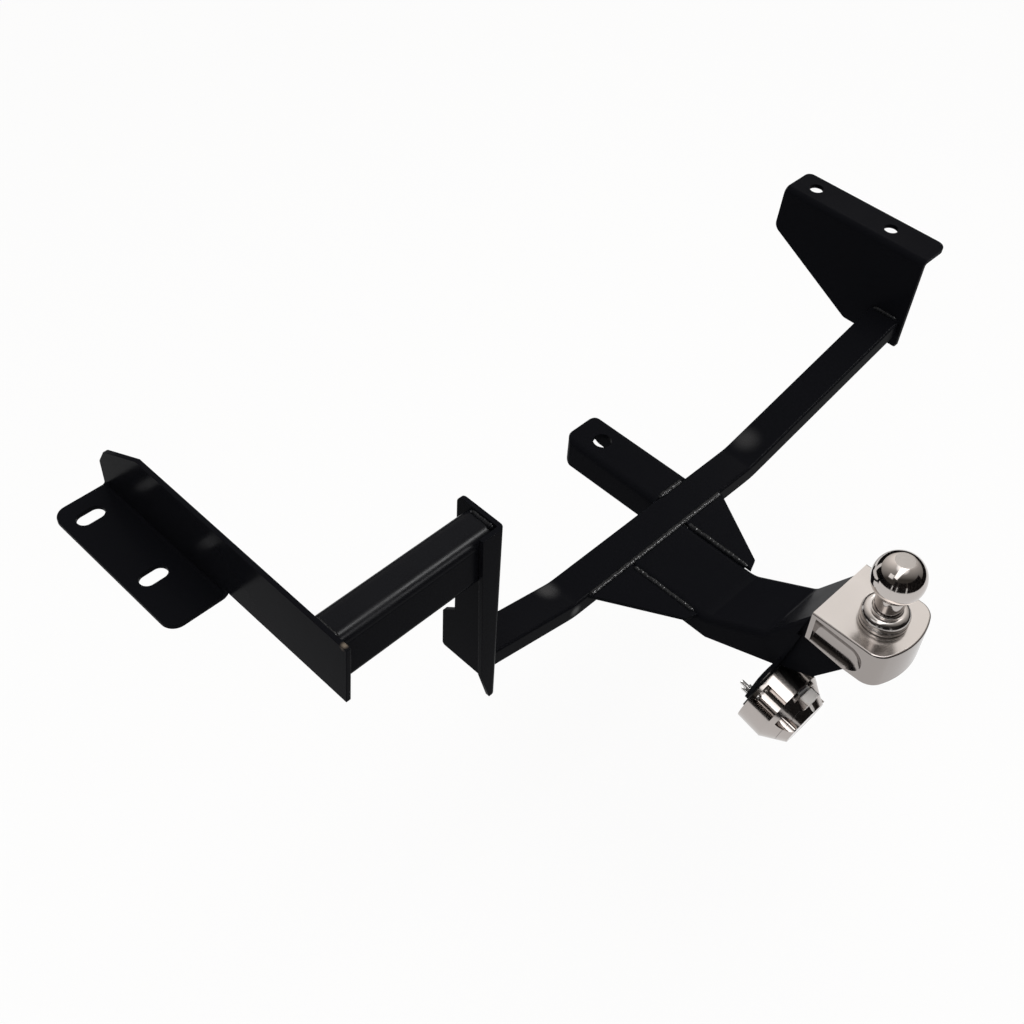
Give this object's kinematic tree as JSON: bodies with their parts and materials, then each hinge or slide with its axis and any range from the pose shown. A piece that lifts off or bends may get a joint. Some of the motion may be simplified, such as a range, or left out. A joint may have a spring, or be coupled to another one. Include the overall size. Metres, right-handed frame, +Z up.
{
  "type": "towbar",
  "caption": "Welded steel towbar for a car: a crossbar with bolt-on brackets, an upturned tongue with a tow ball on a bright cover, and a trailer socket with a sprung lid.",
  "frame": {"origin": "centre of the tow ball", "axes": "+X backwards, away from the car and towards the trailer; +Y along the crossbar towards the bracket with round holes; +Z up along the ball's shank"},
  "size_m": [0.6263, 0.955, 0.2977],
  "materials": {
    "black_paint": "gloss",
    "chrome": "mirror",
    "bright_alloy": "polished",
    "zinc_steel": "satin",
    "spring_steel": "satin",
    "rubber": "matt",
    "black_plastic": "matt",
    "brass": "satin"
  },
  "bodies": {
    "towbar_body": {"crossbar": "black_paint", "upright_bracket": "black_paint", "stub_tube": "black_paint", "left_side_plate": "black_paint", "right_bracket": "black_paint", "front_tongue": "black_paint", "rear_tongue": "black_paint", "gusset_left": "black_paint", "gusset_right": "black_paint", "socket_bracket": "black_paint", "ball_carrier": "black_paint", "weld_crossbar": "black_paint", "weld_gusset_left": "black_paint", "weld_gusset_right": "black_paint", "weld_front_tongue": "black_paint", "weld_right_bracket": "black_paint", "weld_upright": "black_paint", "weld_stub_left": "black_paint", "weld_stub_right": "black_paint", "ball_cover": "chrome", "tow_ball": "chrome", "ball_seat_ring": "chrome", "ball_washer": "zinc_steel", "ball_nut": "zinc_steel", "socket_gasket": "rubber", "cable_grommet": "rubber", "lid_seal": "rubber", "socket_housing": "bright_alloy", "contact_insert": "black_plastic", "contact_pins": "brass", "hinge_pin": "zinc_steel", "lid_spring": "spring_steel", "socket_screws": "zinc_steel", "socket_nuts": "zinc_steel"},
    "lid_body": {"socket_lid": "bright_alloy"}
  },
  "joints": [
    {"name": "lid_hinge", "type": "hinge", "parent": "towbar_body", "child": "lid_body", "pos_m": [-0.03449, -0.0383, -0.17085], "axis": [0, -1, 0], "range_deg": [0, 100], "stiffness_Nm_per_rad": 0.06, "springref_deg": -85.94}
  ]
}
